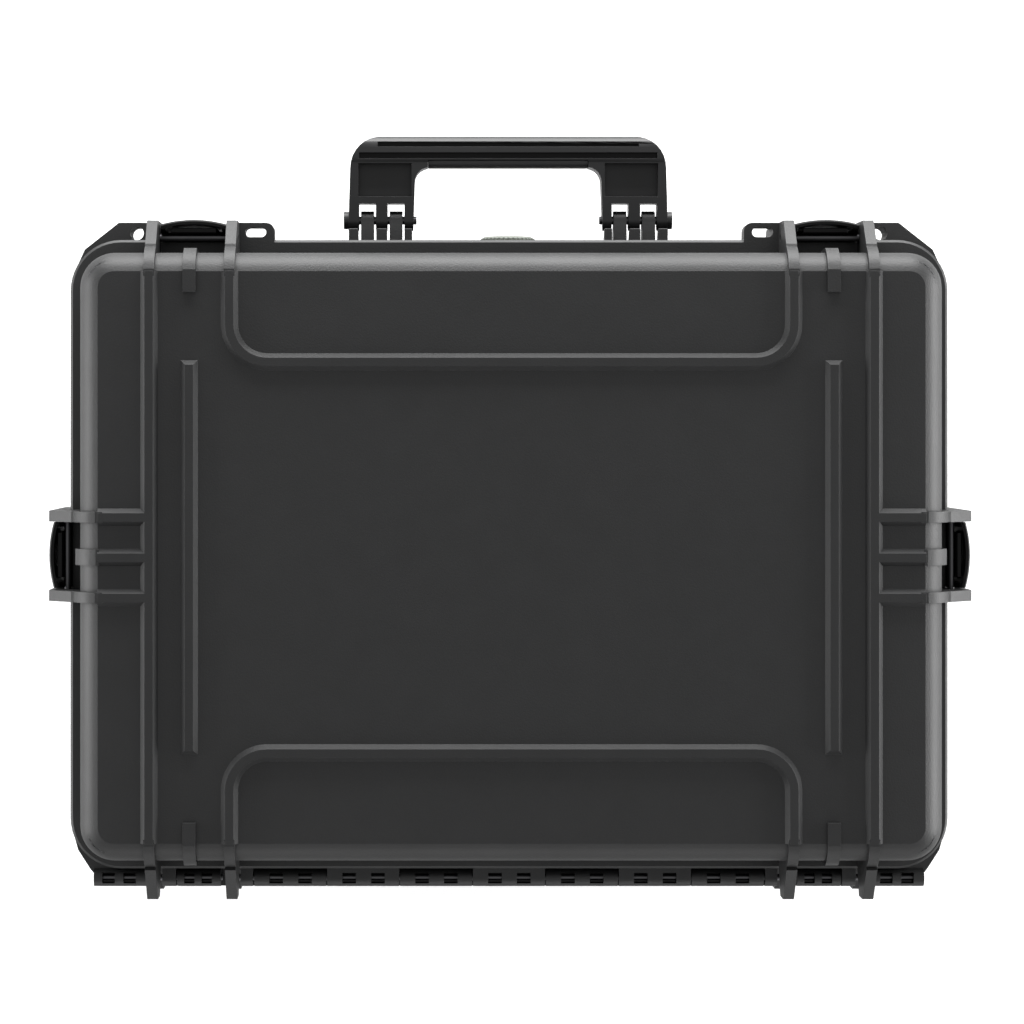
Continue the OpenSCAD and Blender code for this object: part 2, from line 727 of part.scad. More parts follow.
// Soft pad under the grip bar
module handle_grip() {
    inner = -handle_reach + bar_w;
    half = handle_t / 2 - 1;
    color([0.07, 0.07, 0.07]) at_handle() rotate([0, 90, 0]) linear_extrude(2 * grip_half - 16.2, center = true)
        rotate(90) polygon(concat(
            [[inner - grip_pad_t + press_gap, -half]],
            arc([inner - 3, -half + 3], 3, -90, 0, 3),
            arc([inner - 3, half - 3], 3, 0, 90, 3),
            [[inner - grip_pad_t + press_gap, half]]));
}

module handle_pins() {
    color([0.6, 0.61, 0.62]) at_handle() both_sides() translate([grip_half - 1, 0, 0]) rotate([0, 90, 0])
        cylinder(r = handle_pin_r, h = handle_half - grip_half + 3);
}

module at_valve(out) {
    in_frame() valve_axis(rim_z - valve_down, out) children();
}

module valve_axis(z, out) {
    translate([0, -wall_d / 2 - out, z]) rotate([90, 0, 0]) children();
}

module valve_boss() {
    valve_axis(valve_down, -1) cylinder(r = valve_flange_r, h = boss_out + 1);
}

module valve_hole() {
    valve_axis(valve_down, -2 * wall_t) cylinder(r = valve_stem_r + press_gap, h = 3 * wall_t);
}

module valve_seal() {
    color([0.05, 0.05, 0.05]) at_valve(boss_out) difference() {
        cylinder(r = valve_flange_r, h = valve_seal_t);
        translate([0, 0, -past]) cylinder(r = valve_stem_r + press_gap, h = valve_seal_t + 2 * past);
    }
}

module valve_body() {
    stem_in = nut_in + nut_t + 1;
    color([0.3, 0.31, 0.29]) difference() {
        union() {
            at_valve(-stem_in) cylinder(r = valve_stem_r, h = stem_in + stem_out);
            at_valve(boss_out + valve_seal_t) cylinder(r = valve_flange_r, h = valve_flange_t);
        }
        at_valve(-stem_in - past) cylinder(r = valve_stem_r - 3, h = stem_in + stem_out - 1);
    }
}

module valve_cap() {
    teeth = 36;
    color([0.35, 0.37, 0.33]) at_valve(cap_back) difference() {
        union() {
            cylinder(r = valve_cap_r, h = valve_cap_h - 1.5);
            translate([0, 0, valve_cap_h - 1.5]) cylinder(r1 = valve_cap_r, r2 = valve_cap_r - 2.5, h = 1.5);
        }
        translate([0, 0, -past]) cylinder(r = valve_flange_r + lay_gap, h = past + valve_flange_t + lay_gap);
        translate([0, 0, -past]) cylinder(r = valve_stem_r + press_gap, h = past + valve_cap_h - 1.5);
        for (i = [0:teeth - 1]) rotate(i * 360 / teeth) translate([valve_cap_r + 0.4, 0, -past])
            cylinder(r = 1.1, h = valve_cap_h + 2 * past, $fn = 16);
    }
}

module valve_nut() {
    color([0.12, 0.12, 0.12]) at_valve(-nut_in - nut_t) difference() {
        cylinder(r = valve_flange_r + 2, h = nut_t, $fn = 6);
        translate([0, 0, -past]) cylinder(r = valve_stem_r + press_gap, h = nut_t + 2 * past);
    }
}

// Foam, cut to the drafted inside of a shell of height h, between two heights from the rim
module foam_block(h, z0, z1) {
    clear = 0.5;
    function inside(z) = corner_r - wall_t - lean(z, h) - clear;
    cut = max(0, z1 - (h - edge_r) + 1);
    swept() polygon([[0, z0], [inside(z0), z0], [inside(z1 - cut), z1 - cut], [inside(z1) - cut, z1], [0, z1]]);
    middle(z0, z1);
}

module base_foam_pad() {
    color([0.22, 0.22, 0.23]) in_frame() base_side() foam_block(base_h, base_floor - pad_t, base_floor);
}

module base_foam_insert() {
    color([0.2, 0.2, 0.21]) in_frame() base_side() difference() {
        foam_block(base_h, foam_gap, insert_far);
        translate([pocket_x0, -laptop_d / 2, foam_gap - past]) cube([laptop_w, laptop_d, laptop_h + past]);
        translate([side_pocket_x0, -laptop_d / 2, foam_gap - past])
            cube([side_pocket_w, laptop_d, side_pocket_h + past]);
        valve_axis(valve_down, -nut_in - nut_t - 4) cylinder(r = valve_flange_r + 4, h = nut_t + 8);
        translate([-valve_flange_r - 4, -wall_d / 2, foam_gap - past])
            cube([2 * valve_flange_r + 8, nut_in + nut_t + 4, valve_down - foam_gap + past]);
    }
}

module lid_foam() {
    far = lid_h - wall_t - lay_gap;
    color([0.24, 0.24, 0.25]) in_frame() lid_side() foam_block(lid_h, far - lid_foam_t, far);
}

base_shell();
lid_shell();
rim_seal();
hinge_pin(-inner_fin_x + 1, inner_fin_x - 1);  // hinge_pin_centre
hinge_pin(-corner_knuckle[1] + 0.5, -side_knuckle[0] + 1);  // hinge_pin_left
hinge_pin(side_knuckle[0] - 1, corner_knuckle[1] - 0.5);  // hinge_pin_right
handle_frame();
handle_grip();
handle_pins();
catch_bars();
lever_pins();
latch_lever(0);  // latch_lever_front_left
latch_lever(1);  // latch_lever_front_right
latch_lever(2);  // latch_lever_side_left
latch_lever(3);  // latch_lever_side_right
latch_hook(0);  // latch_hook_front_left
latch_hook(1);  // latch_hook_front_right
latch_hook(2);  // latch_hook_side_left
latch_hook(3);  // latch_hook_side_right
hook_pin(0);  // hook_pin_front_left
hook_pin(1);  // hook_pin_front_right
hook_pin(2);  // hook_pin_side_left
hook_pin(3);  // hook_pin_side_right
valve_body();
valve_cap();
valve_nut();
valve_seal();
base_foam_pad();
base_foam_insert();
lid_foam();
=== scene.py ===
"""Looks of a moulded hard case: finishes, softened mouldings, small dark parts with painted shade in the handle's
slots, foam, light and camera.
"""
import json
import logging
import math
from dataclasses import dataclass, field
from enum import Enum
from typing import Iterable

import bpy
from mathutils import Matrix, Vector


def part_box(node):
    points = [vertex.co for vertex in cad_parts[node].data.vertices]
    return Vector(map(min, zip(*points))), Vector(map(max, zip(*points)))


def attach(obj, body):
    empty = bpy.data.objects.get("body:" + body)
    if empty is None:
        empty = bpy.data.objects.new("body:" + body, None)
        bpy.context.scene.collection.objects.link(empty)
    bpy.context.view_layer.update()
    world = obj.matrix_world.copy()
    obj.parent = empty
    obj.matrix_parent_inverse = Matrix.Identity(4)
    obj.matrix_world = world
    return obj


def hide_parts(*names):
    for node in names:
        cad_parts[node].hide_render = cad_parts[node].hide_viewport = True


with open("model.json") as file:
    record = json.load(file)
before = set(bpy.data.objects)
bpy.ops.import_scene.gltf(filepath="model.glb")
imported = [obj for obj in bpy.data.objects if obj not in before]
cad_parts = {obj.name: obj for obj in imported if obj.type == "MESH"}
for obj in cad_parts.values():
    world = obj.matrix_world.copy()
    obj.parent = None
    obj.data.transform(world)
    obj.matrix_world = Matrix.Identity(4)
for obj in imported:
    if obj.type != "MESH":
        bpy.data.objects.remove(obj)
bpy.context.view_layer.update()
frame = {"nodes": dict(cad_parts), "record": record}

MM = 0.001
WELD_DISTANCE = 0.002 * MM
FLAT_WITHIN = math.radians(1.0)
SIDES = (1.0, -1.0)
log = logging.getLogger("hard_case")


class Slot(Enum):
    """Material slots of the record that the pieces take their finish from."""

    BASE = "base_moulding"
    LID = "lid_moulding"
    STEEL = "steel_pin"
    HANDLE = "handle_moulding"
    GRIP = "grip_rubber"
    LATCH = "latch_moulding"
    HOOK = "hook_moulding"
    SEAL = "seal_rubber"
    VALVE = "valve_moulding"
    VALVE_CAP = "valve_cap_moulding"
    BASE_FOAM = "base_foam"
    LID_FOAM = "lid_foam"


class Place(Enum):
    """Where a latch sits on the case, as its nodes and bodies are named."""

    FRONT_LEFT = "front_left"
    FRONT_RIGHT = "front_right"
    SIDE_LEFT = "side_left"
    SIDE_RIGHT = "side_right"


def node_group(name: str, inputs: dict[str, float], outputs: dict[str, str]) -> bpy.types.NodeTree:
    """Start a shader node group with float inputs.

    Args:
        name: Name of the group.
        inputs: Default value of each float input by name.
        outputs: Socket type of each output by name.

    Returns:
        The new group, with its input and output nodes in place.
    """
    group = bpy.data.node_groups.new(name, "ShaderNodeTree")
    for label, value in inputs.items():
        socket = group.interface.new_socket(label, in_out="INPUT", socket_type="NodeSocketFloat")
        socket.default_value = value
    group.interface.new_socket("Vector", in_out="INPUT", socket_type="NodeSocketVector")
    for label, kind in outputs.items():
        group.interface.new_socket(label, in_out="OUTPUT", socket_type=kind)
    group.nodes.new("NodeGroupInput")
    group.nodes.new("NodeGroupOutput")
    return group


def group_ends(group: bpy.types.NodeTree) -> tuple[bpy.types.Node, bpy.types.Node]:
    """Return a group's input node and output node."""
    return group.nodes["Group Input"], group.nodes["Group Output"]


def maths(tree: bpy.types.NodeTree, operation: str, first: object, second: object) -> bpy.types.NodeSocket:
    """Add a maths node.

    Args:
        tree: Node tree that gets the node.
        operation: Blender's name of the operation.
        first: Socket or number for the first input.
        second: Socket or number for the second input.

    Returns:
        The node's output socket.
    """
    node = tree.nodes.new("ShaderNodeMath")
    node.operation = operation
    for index, value in enumerate((first, second)):
        if isinstance(value, bpy.types.NodeSocket):
            tree.links.new(value, node.inputs[index])
        else:
            node.inputs[index].default_value = value
    return node.outputs[0]


def noise(
        tree: bpy.types.NodeTree, vector: bpy.types.NodeSocket, scale: object,
        detail: float) -> bpy.types.NodeSocket:
    """Add a noise texture.

    Args:
        tree: Node tree that gets the node.
        vector: Socket that gives the place.
        scale: Number or socket for the scale.
        detail: Octaves of the noise.

    Returns:
        The noise's value socket.
    """
    node = tree.nodes.new("ShaderNodeTexNoise")
    node.inputs["Detail"].default_value = detail
    if isinstance(scale, bpy.types.NodeSocket):
        tree.links.new(scale, node.inputs["Scale"])
    else:
        node.inputs["Scale"].default_value = scale
    tree.links.new(vector, node.inputs["Vector"])
    return node.outputs[0]


def moulded_grain() -> bpy.types.NodeTree:
    """Build the spark grain of moulded plastic: a height, a tone and a mask of scuffs."""
    fine_in_height, cells_in_height = 0.7, 0.3
    fine_in_tone, broad_in_tone = 0.45, 0.55
    scuffs_per_metre, scuff_contrast = 14.0, 3.0
    group = node_group(
        "moulded_grain",
        {"Grain per metre": 900.0, "Mottle per metre": 60.0},
        {"Height": "NodeSocketFloat", "Tone": "NodeSocketFloat", "Scuff": "NodeSocketFloat"})
    given, out = group_ends(group)
    vector = given.outputs["Vector"]
    fine = noise(group, vector, given.outputs["Grain per metre"], 2.0)
    cells = group.nodes.new("ShaderNodeTexVoronoi")
    group.links.new(vector, cells.inputs["Vector"])
    group.links.new(given.outputs["Grain per metre"], cells.inputs["Scale"])
    height = maths(
        group, "ADD", maths(group, "MULTIPLY", fine, fine_in_height),
        maths(group, "MULTIPLY", cells.outputs[0], cells_in_height))
    broad = noise(group, vector, given.outputs["Mottle per metre"], 3.0)
    tone = maths(
        group, "ADD", maths(group, "MULTIPLY", fine, fine_in_tone), maths(group, "MULTIPLY", broad, broad_in_tone))
    scuff = maths(group, "POWER", noise(group, vector, scuffs_per_metre, 5.0), scuff_contrast)
    group.links.new(height, out.inputs["Height"])
    group.links.new(tone, out.inputs["Tone"])
    group.links.new(scuff, out.inputs["Scuff"])
    return group


def open_cells() -> bpy.types.NodeTree:
    """Build the pores of open cell foam: a height and a mask that darkens the sunken cell hollows as painted
    shade.
    """
    wall_width = 0.25
    group = node_group(
        "open_cells", {"Cells per metre": 700.0}, {"Height": "NodeSocketFloat", "Pore shade": "NodeSocketFloat"})
    given, out = group_ends(group)
    cells = group.nodes.new("ShaderNodeTexVoronoi")
    cells.feature = "DISTANCE_TO_EDGE"
    group.links.new(given.outputs["Vector"], cells.inputs["Vector"])
    group.links.new(given.outputs["Cells per metre"], cells.inputs["Scale"])
    ramp = group.nodes.new("ShaderNodeMapRange")
    ramp.inputs["From Max"].default_value = wall_width
    group.links.new(cells.outputs["Distance"], ramp.inputs["Value"])
    group.links.new(ramp.outputs[0], out.inputs["Pore shade"])
    group.links.new(maths(group, "SUBTRACT", 1.0, ramp.outputs[0]), out.inputs["Height"])
    return group


@dataclass(frozen=True)
class Finish:
    """A moulded or drawn surface with a fine grain."""

    name: str
    dark: tuple[float, float, float]
    light: tuple[float, float, float]
    roughness: float = 0.5
    roughness_swing: float = 0.12
    metallic: float = 0.0
    specular: float = 0.5
    grain_per_metre: float = 900.0
    grain_depth: float = 0.00006
    mottle_per_metre: float = 60.0

    def build(self, grain: bpy.types.NodeTree) -> bpy.types.Material:
        """Make the material.

        Args:
            grain: The moulded grain group.

        Returns:
            The material, which reads Object coordinates.
        """
        material, tree, shader, vector = start_material(self.name)
        effect = place_effect(tree, grain, vector, {
            "Grain per metre": self.grain_per_metre, "Mottle per metre": self.mottle_per_metre})
        blend_colours(tree, effect.outputs["Tone"], self.dark, self.light, shader.inputs["Base Color"])
        rough = maths(tree, "MULTIPLY", effect.outputs["Scuff"], self.roughness_swing)
        tree.links.new(maths(tree, "ADD", rough, self.roughness), shader.inputs["Roughness"])
        shader.inputs["Metallic"].default_value = self.metallic
        shader.inputs["Specular IOR Level"].default_value = self.specular
        bump_from(tree, effect.outputs["Height"], self.grain_depth, shader)
        return material


@dataclass(frozen=True)
class FoamFinish:
    """Open cell foam whose sunken pores are darkened as painted shade, with a soft sheen."""

    name: str
    skin: tuple[float, float, float]
    pore_shade: tuple[float, float, float]
    cells_per_metre: float = 650.0
    pore_depth: float = 0.0006
    roughness: float = 0.95
    sheen: float = 0.25
    sheen_roughness: float = 0.6

    def build(self, cells: bpy.types.NodeTree) -> bpy.types.Material:
        """Make the material.

        Args:
            cells: The open cell group.

        Returns:
            The material, which reads Object coordinates.
        """
        material, tree, shader, vector = start_material(self.name)
        effect = place_effect(tree, cells, vector, {"Cells per metre": self.cells_per_metre})
        # Painted shade: the pore colour darkens the cell hollows that the bump sinks.
        blend_colours(tree, effect.outputs["Pore shade"], self.skin, self.pore_shade, shader.inputs["Base Color"])
        shader.inputs["Roughness"].default_value = self.roughness
        shader.inputs["Sheen Weight"].default_value = self.sheen
        shader.inputs["Sheen Roughness"].default_value = self.sheen_roughness
        bump_from(tree, effect.outputs["Height"], self.pore_depth, shader)
        return material


def place_effect(
        tree: bpy.types.NodeTree, group: bpy.types.NodeTree, vector: bpy.types.NodeSocket,
        values: dict[str, float]) -> bpy.types.Node:
    """Place a shared group in a material.

    Args:
        tree: Node tree of the material.
        group: The shared group.
        vector: Socket that gives the place.
        values: The material's own value of each float input by name.

    Returns:
        The group's node.
    """
    effect = tree.nodes.new("ShaderNodeGroup")
    effect.node_tree = group
    for label, value in values.items():
        effect.inputs[label].default_value = value
    tree.links.new(vector, effect.inputs["Vector"])
    return effect


def start_material(
        name: str) -> tuple[bpy.types.Material, bpy.types.NodeTree, bpy.types.Node, bpy.types.NodeSocket]:
    """Start a material.

    Args:
        name: Name of the material.

    Returns:
        The material, its node tree, its shader and its Object coordinates.
    """
    material = bpy.data.materials.new(name)
    material.use_nodes = True
    tree = material.node_tree
    shader = tree.nodes["Principled BSDF"]
    place = tree.nodes.new("ShaderNodeTexCoord")
    return material, tree, shader, place.outputs["Object"]


def blend_colours(
        tree: bpy.types.NodeTree, mask: bpy.types.NodeSocket, first: Iterable[float],
        second: Iterable[float], target: bpy.types.NodeSocket) -> None:
    """Blend two colours by a mask into a socket.

    Args:
        tree: Node tree of the material.
        mask: Socket that is 0 for the first colour and 1 for the second.
        first: First colour.
        second: Second colour.
        target: Colour socket that gets the result.
    """
    mix = tree.nodes.new("ShaderNodeMix")
    mix.data_type = "RGBA"
    tree.links.new(mask, mix.inputs["Factor"])
    mix.inputs["A"].default_value = (*first, 1.0)
    mix.inputs["B"].default_value = (*second, 1.0)
    tree.links.new(mix.outputs["Result"], target)


def bump_from(
        tree: bpy.types.NodeTree, height: bpy.types.NodeSocket, depth: float, shader: bpy.types.Node) -> None:
    """Feed a height into a shader's normal.

    Args:
        tree: Node tree of the material.
        height: Socket with heights from 0 to 1.
        depth: Height of 1 in metres.
        shader: The shader that gets the normal.
    """
    bump = tree.nodes.new("ShaderNodeBump")
    bump.inputs["Distance"].default_value = depth
    tree.links.new(height, bump.inputs["Height"])
    tree.links.new(bump.outputs["Normal"], shader.inputs["Normal"])


def deselect() -> None:
    """Leave edit mode and select nothing."""
    if bpy.context.object is not None and bpy.context.object.mode != "OBJECT":
        bpy.ops.object.mode_set(mode="OBJECT")
    bpy.ops.object.select_all(action="DESELECT")


def make_active(piece: bpy.types.Object) -> None:
    """Select one piece alone and make it active."""
    deselect()
    piece.select_set(True)
    bpy.context.view_layer.objects.active = piece


def apply_modifier(piece: bpy.types.Object, modifier: bpy.types.Modifier) -> None:
    """Apply a modifier to its piece."""
    make_active(piece)
    bpy.ops.object.modifier_apply(modifier=modifier.name)


def settle(piece: bpy.types.Object) -> None:
    """Move a piece's place into its mesh, so that its object stands at the origin."""
    make_active(piece)
    bpy.ops.object.transform_apply(location=True, rotation=True, scale=True)


def smooth(piece: bpy.types.Object, degrees: float) -> None:
    """Shade a piece smooth, apart from edges sharper than an angle."""
    make_active(piece)
    bpy.ops.object.shade_smooth_by_angle(angle=math.radians(degrees))


def block(name: str, low: Vector, high: Vector) -> bpy.types.Object:
    """Add a block between two corners.

    Args:
        name: Name of the block.
        low: Its lowest corner in metres.
        high: Its highest corner in metres.

    Returns:
        The block, with its place in its mesh.
    """
    deselect()
    bpy.ops.mesh.primitive_cube_add(size=1.0, location=(low + high) / 2)
    piece = bpy.context.object
    piece.scale = high - low
    piece.name = piece.data.name = name
    settle(piece)
    return piece


def cut(piece: bpy.types.Object, tool: bpy.types.Object) -> None:
    """Take a tool's volume out of a piece and remove the tool."""
    modifier = piece.modifiers.new("cut", "BOOLEAN")
    modifier.operation = "DIFFERENCE"
    modifier.solver = "EXACT"
    modifier.object = tool
    apply_modifier(piece, modifier)
    bpy.data.objects.remove(tool)


def bevel(
        piece: bpy.types.Object, width: float, segments: int, sharper_than: float, harden: bool = True) -> None:
    """Round a piece's edges.

    Args:
        piece: Piece to change.
        width: Width of the rounding in metres.
        segments: Faces across the rounding.
        sharper_than: Edges that turn by more degrees than this are rounded.
        harden: Whether the faces beside the rounding keep their own normals.
    """
    rounding = piece.modifiers.new("rounding", "BEVEL")
    rounding.width = width
    rounding.segments = segments
    rounding.limit_method = "ANGLE"
    rounding.angle_limit = math.radians(sharper_than)
    rounding.use_clamp_overlap = True
    rounding.harden_normals = harden
    apply_modifier(piece, rounding)


def softened(
        node: str, name: str, radius: float, segments: int = 2, sharper_than: float = 15.0) -> bpy.types.Object:
    """Copy a CAD node, merge its loose triangles and round its edges as a moulding's are.

    Args:
        node: Name of the CAD node.
        name: Name of the new piece.
        radius: Width of the rounding in metres.
        segments: Faces across the rounding.
        sharper_than: Edges that turn by more degrees than this are rounded.

    Returns:
        The copy, which stands for the node.
    """
    piece = bpy.data.objects.new(name, frame["nodes"][node].data.copy())
    piece.data.name = name
    bpy.context.scene.collection.objects.link(piece)
    make_active(piece)
    bpy.ops.mesh.customdata_custom_splitnormals_clear()
    bpy.ops.object.mode_set(mode="EDIT")
    bpy.ops.mesh.select_all(action="SELECT")
    bpy.ops.mesh.remove_doubles(threshold=WELD_DISTANCE)
    bpy.ops.mesh.dissolve_limited(angle_limit=FLAT_WITHIN)
    bpy.ops.object.mode_set(mode="OBJECT")
    bpy.ops.object.shade_smooth()
    bevel(piece, radius, segments, sharper_than)
    return piece


def joined(pieces: list[bpy.types.Object]) -> bpy.types.Object:
    """Join pieces into the first of them.

    Args:
        pieces: Pieces at their final places.

    Returns:
        The first piece, with all the meshes.
    """
    make_active(pieces[0])
    for piece in pieces:
        piece.select_set(True)
    bpy.ops.object.join()
    return pieces[0]


def mirrored_blocks(
        name: str, spans: Iterable[tuple[float, float]], depth: tuple[float, float],
        height: tuple[float, float]) -> bpy.types.Object:
    """Add a row of blocks on both sides of the middle and join them, all in millimetres.

    Args:
        name: Name of the joined piece.
        spans: Start and end of each block along X, on the positive side.
        depth: Lowest and highest Y of the blocks.
        height: Lowest and highest Z of the blocks.

    Returns:
        The joined piece.
    """
    row = []
    for side in SIDES:
        for start, end in spans:
            ends = sorted((side * start, side * end))
            low = Vector((ends[0], depth[0], height[0])) * MM
            high = Vector((ends[1], depth[1], height[1])) * MM
            row.append(block(name, low, high))
    return joined(row)


def rounded(piece: bpy.types.Object, radius: float) -> None:
    """Round every sharp edge of a modelled piece.

    Args:
        piece: Piece to change.
        radius: Radius in metres.
    """
    make_active(piece)
    bpy.ops.object.shade_smooth()
    bevel(piece, radius, segments=2, sharper_than=30.0)


@dataclass
class Workbench:
    """Materials by slot, and the steps that every piece goes through."""

    materials: dict[Slot, bpy.types.Material] = field(default_factory=dict)

    def mix_finishes(self) -> None:
        """Build the shared groups and one material for each slot."""
        grain = moulded_grain()
        cells = open_cells()
        charcoal = ((0.0036, 0.0037, 0.0039), (0.0120, 0.0122, 0.0126))
        finishes = {
            Slot.BASE: Finish("charcoal_moulding", *charcoal, specular=0.3, grain_depth=0.00012),
            Slot.LID: Finish("charcoal_lid_moulding", *charcoal, specular=0.3, grain_depth=0.00012),
            Slot.STEEL: Finish(
                "black_oxide_steel", (0.040, 0.040, 0.042), (0.075, 0.075, 0.078), roughness=0.32, metallic=1.0,
                grain_per_metre=2500.0, grain_depth=0.00001),
            Slot.HANDLE: Finish(
                "handle_moulding", (0.0068, 0.0069, 0.0072), (0.0124, 0.0126, 0.0130), roughness=0.42,
                specular=0.26, grain_per_metre=1300.0, grain_depth=0.00004),
            Slot.GRIP: Finish(
                "grip_rubber", (0.0065, 0.0066, 0.0070), (0.0120, 0.0122, 0.0126), roughness=0.72,
                grain_per_metre=1700.0, grain_depth=0.00009),
            # Near-black lever: black plastic, darkened past its own colour as painted shade for the deep latch
            # recess.
            Slot.LATCH: Finish(
                "latch_moulding", (0.0012, 0.0012, 0.0013), (0.0026, 0.0026, 0.0027), roughness=0.36,
                specular=0.10, grain_per_metre=1600.0, grain_depth=0.00003),
            # Near-black hook: black plastic, darkened further as painted shade for the recess it sits in.
            Slot.HOOK: Finish(
                "hook_moulding", (0.0016, 0.0016, 0.0017), (0.0032, 0.0032, 0.0033), roughness=0.4,
                specular=0.12, grain_per_metre=1600.0, grain_depth=0.00003),
            Slot.SEAL: Finish(
                "seal_rubber", (0.0070, 0.0070, 0.0072), (0.0130, 0.0130, 0.0132), roughness=0.65,
                grain_per_metre=2200.0, grain_depth=0.00003),
            Slot.VALVE: Finish(
                "valve_moulding", (0.0080, 0.0082, 0.0080), (0.0150, 0.0153, 0.0148), roughness=0.45,
                grain_per_metre=1800.0, grain_depth=0.00003),
            Slot.VALVE_CAP: Finish(
                "valve_cap_moulding", (0.085, 0.094, 0.080), (0.135, 0.145, 0.125), roughness=0.5,
                grain_per_metre=2200.0, grain_depth=0.00003),
        }
        for slot, finish in finishes.items():
            self.materials[slot] = finish.build(grain)
        # The second colour of each foam is painted shade for its pores.
        self.materials[Slot.BASE_FOAM] = FoamFinish(
            "insert_foam", (0.030, 0.030, 0.033), (0.006, 0.006, 0.007)).build(cells)
        self.materials[Slot.LID_FOAM] = FoamFinish(
            "egg_crate_foam", (0.042, 0.042, 0.046), (0.009, 0.009, 0.010), cells_per_metre=520.0).build(cells)

    def dress_nodes(self) -> None:
        """Give every CAD node that stays the material of its record slot."""
        for part in frame["record"]["subparts"]:
            node = frame["nodes"][part["node"]]
            node.material_slots[0].material = self.materials[Slot(part["material_slot"])]

    def hand_over(self, piece: bpy.types.Object, slot: Slot, body: str, *nodes: str) -> None:
        """Dress a piece, tie it to its body and let it stand for its CAD nodes.

        Args:
            piece: The finished piece.
            slot: Slot that it takes its finish from.
            body: Body that carries it.
            nodes: CAD nodes that it stands for.
        """
        piece.data.materials.clear()
        piece.data.materials.append(self.materials[slot])
        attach(piece, body)
        if nodes:
            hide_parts(*nodes)
        log.info("%s: %d faces on %s", piece.name, len(piece.data.polygons), body)


@dataclass
class Shells:
    """The two moulded halves with their ribs, fins and knuckles."""

    bench: Workbench
    edge_radius: float = 0.9 * MM

    def build(self) -> None:
        """Round both halves."""
        base = softened("base_shell", "moulded_base", self.edge_radius)
        self.bench.hand_over(base, Slot.BASE, "base", "base_shell")
        lid = softened("lid_shell", "moulded_lid", self.edge_radius)
        self.bench.hand_over(lid, Slot.LID, "lid", "lid_shell")


@dataclass
class HingeLedge:
    """A thin ledge on the base below the knuckles, that keeps the row dark from above.

    The spans are along X on one side of the case, clear of the lid's fins. All places are in millimetres.
    """

    bench: Workbench
    spans: tuple[tuple[float, float], ...] = ((0.0, 164.1), (172.1, 211.8), (219.9, 253.5))
    inner: float = 215.6
    outer: float = 229.2
    below: float = 140.9
    above: float = 141.9
    edge_radius: float = 0.3 * MM

    def build(self) -> None:
        """Lay the lengths on both sides of the middle."""
        ledge = mirrored_blocks("hinge_ledge", self.spans, (self.inner, self.outer), (self.below, self.above))
        rounded(ledge, self.edge_radius)
        self.bench.hand_over(ledge, Slot.BASE, "base")


@dataclass
class PostRoots:
    """Short webs on the front wall behind the handle's lugs, sloped below to clear them as they turn.

    All places are in millimetres. The slope passes through the tip at the height of the nose.
    """

    bench: Workbench
    spans: tuple[tuple[float, float], ...] = ((59.2, 64.0), (74.6, 81.4), (92.3, 98.3))
    wall: float = -156.5
    tip: float = -175.2
    below: float = 118.0
    above: float = 139.0
    nose: float = 132.0
    slope: tuple[float, float, float] = (0.0, -0.677, -0.736)
    edge_radius: float = 0.6 * MM

    def build(self) -> None:
        """Raise the webs on both sides and cut their slope."""
        roots = mirrored_blocks("post_roots", self.spans, (self.tip, self.wall), (self.below, self.above))
        bpy.ops.object.mode_set(mode="EDIT")
        bpy.ops.mesh.select_all(action="SELECT")
        bpy.ops.mesh.bisect(
            plane_co=Vector((0.0, self.tip, self.nose)) * MM, plane_no=self.slope, use_fill=True, clear_outer=True)
        bpy.ops.object.mode_set(mode="OBJECT")
        rounded(roots, self.edge_radius)
        self.bench.hand_over(roots, Slot.BASE, "base")


@dataclass
class Latch:
    """One latch: a crowned lever with the hook link that it carries."""

    bench: Workbench
    place: Place
    lever_radius: float = 0.6 * MM
    hook_radius: float = 0.4 * MM

    def build(self) -> None:
        """Round the lever and the hook."""
        spot = self.place.value
        lever = softened(f"latch_lever_{spot}", f"lever_{spot}_moulding", self.lever_radius)
        self.bench.hand_over(lever, Slot.LATCH, f"lever_{spot}", f"latch_lever_{spot}")
        hook = softened(f"latch_hook_{spot}", f"hook_{spot}_moulding", self.hook_radius)
        self.bench.hand_over(hook, Slot.HOOK, f"hook_{spot}", f"latch_hook_{spot}")


@dataclass
class CarryHandle:
    """The folding handle, its soft inlay and near-black sheets on the floors of its slots, which are painted
    shade.

    Each slot has its half length, near side and far side. Slots, axis, floor and shade sheet are in millimetres.
    """

    bench: Workbench
    frame_radius: float = 0.8 * MM
    grip_radius: float = 1.0 * MM
    shade_sheet_radius: float = 0.1 * MM
    axis_z: float = 127.0
    slot_floor: float = 6.9
    shade_sheet_thickness: float = 0.5
    slots: tuple[tuple[float, float, float], ...] = ((80.4, -228.8, -225.8), (91.9, -222.0, -218.6))

    def build(self) -> None:
        """Round the frame and the inlay, and lay sheets of painted shade on the slot floors of both faces."""
        bow = softened("handle_frame", "handle_bow", self.frame_radius)
        self.bench.hand_over(bow, Slot.HANDLE, "handle", "handle_frame")
        inlay = softened("handle_grip", "handle_inlay", self.grip_radius, segments=3)
        self.bench.hand_over(inlay, Slot.GRIP, "handle", "handle_grip")
        strips = []
        for half, near, far in self.slots:
            for side in SIDES:
                ends = sorted((
                    self.axis_z + side * self.slot_floor, self.axis_z + side * (self.slot_floor + self.shade_sheet_thickness)))
                low = Vector((-half, near, ends[0])) * MM
                high = Vector((half, far, ends[1])) * MM
                strips.append(block("handle_slot_painted_shade", low, high))
        shade_sheets = joined(strips)
        rounded(shade_sheets, self.shade_sheet_radius)
        # Painted shade: the sheets take the near-black latch finish so that the slots read dark.
        self.bench.hand_over(shade_sheets, Slot.LATCH, "handle")


